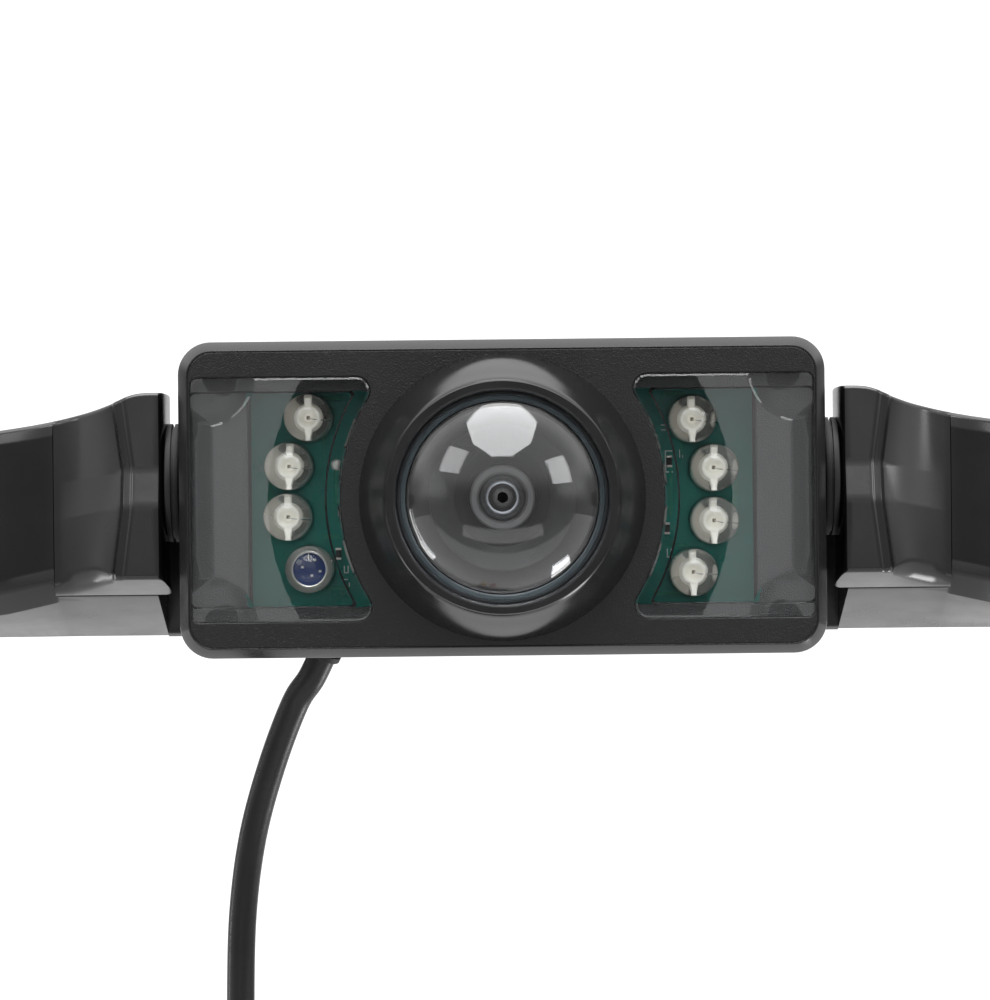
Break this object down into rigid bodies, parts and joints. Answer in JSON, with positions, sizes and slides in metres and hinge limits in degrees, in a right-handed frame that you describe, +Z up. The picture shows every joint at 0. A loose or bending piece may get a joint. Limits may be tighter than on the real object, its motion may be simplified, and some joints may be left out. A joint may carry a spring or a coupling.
{
  "type": "backup camera",
  "caption": "Number-plate-bar backup camera: tilting camera head with a domed lens, infrared lamps behind clear windows, and a video and power lead.",
  "frame": {"origin": "centre of the bar's back face, level with the camera head's middle", "axes": "+X along the bar to the right seen from the front, +Y out of the bar's back towards the vehicle, +Z up; the lens faces -Y"},
  "size_m": [0.336, 0.0459, 0.2033],
  "materials": {
    "black_abs": "satin moulded ABS, fine texture on the bezel's face",
    "matt_black": "matt",
    "cable_pvc": "matt PVC",
    "seal_rubber": "matt",
    "clear_window": "clear moulded plastic",
    "dome_glass": "clear polished",
    "clear_epoxy": "water-clear epoxy",
    "sensor_blue": "clear with a dark blue face",
    "green_board": "solder mask",
    "chip": "polished",
    "silver_ring": "bright",
    "pale_ring": "matt grey",
    "yellow_plug": "moulded, with a nickel pin and shell",
    "red_jack": "moulded",
    "screw_steel": "zinc plated"
  },
  "bodies": {
    "bracket": {"bar": "black_abs", "ear_cover_left": "black_abs", "ear_cover_right": "black_abs", "cover_screw_left_upper": "screw_steel", "cover_screw_left_lower": "screw_steel", "cover_screw_right_upper": "screw_steel", "cover_screw_right_lower": "screw_steel", "friction_washer_left": "matt_black", "friction_washer_right": "matt_black", "lead": "cable_pvc", "lead_coil": "cable_pvc", "coil_tie": "matt_black", "lead_end": "cable_pvc", "y_splitter": "cable_pvc", "video_tail": "cable_pvc", "video_plug": "yellow_plug", "power_tail": "cable_pvc", "power_jack": "red_jack"},
    "camera_head": {"front_bezel": "black_abs", "rear_housing": "black_abs", "window_left": "clear_window", "window_right": "clear_window", "lens_dome": "dome_glass", "led_board": "green_board", "ir_led_1": "clear_epoxy", "ir_led_2": "clear_epoxy", "ir_led_3": "clear_epoxy", "ir_led_4": "clear_epoxy", "ir_led_5": "clear_epoxy", "ir_led_6": "clear_epoxy", "ir_led_7": "clear_epoxy", "light_sensor": "sensor_blue", "board_screw_left": "screw_steel", "board_screw_right": "screw_steel", "sensor_board": "green_board", "image_sensor": "chip", "lens_holder": "matt_black", "lens_barrel": "matt_black", "lens_trim_ring": "pale_ring", "retaining_ring": "silver_ring", "front_element": "chip", "lens_shroud": "matt_black", "dome_seal": "seal_rubber", "housing_seal": "seal_rubber", "housing_screw_1": "screw_steel", "housing_screw_2": "screw_steel", "housing_screw_3": "screw_steel", "housing_screw_4": "screw_steel", "pivot_bolt_left": "screw_steel", "pivot_bolt_right": "screw_steel", "cable_gland": "cable_pvc"}
  },
  "joints": [
    {"name": "head_tilt", "type": "hinge", "parent": "bracket", "child": "camera_head", "pos_m": [0, -0.0188, 0.0019], "axis": [1, 0, 0], "range_deg": [-30, 30]}
  ]
}
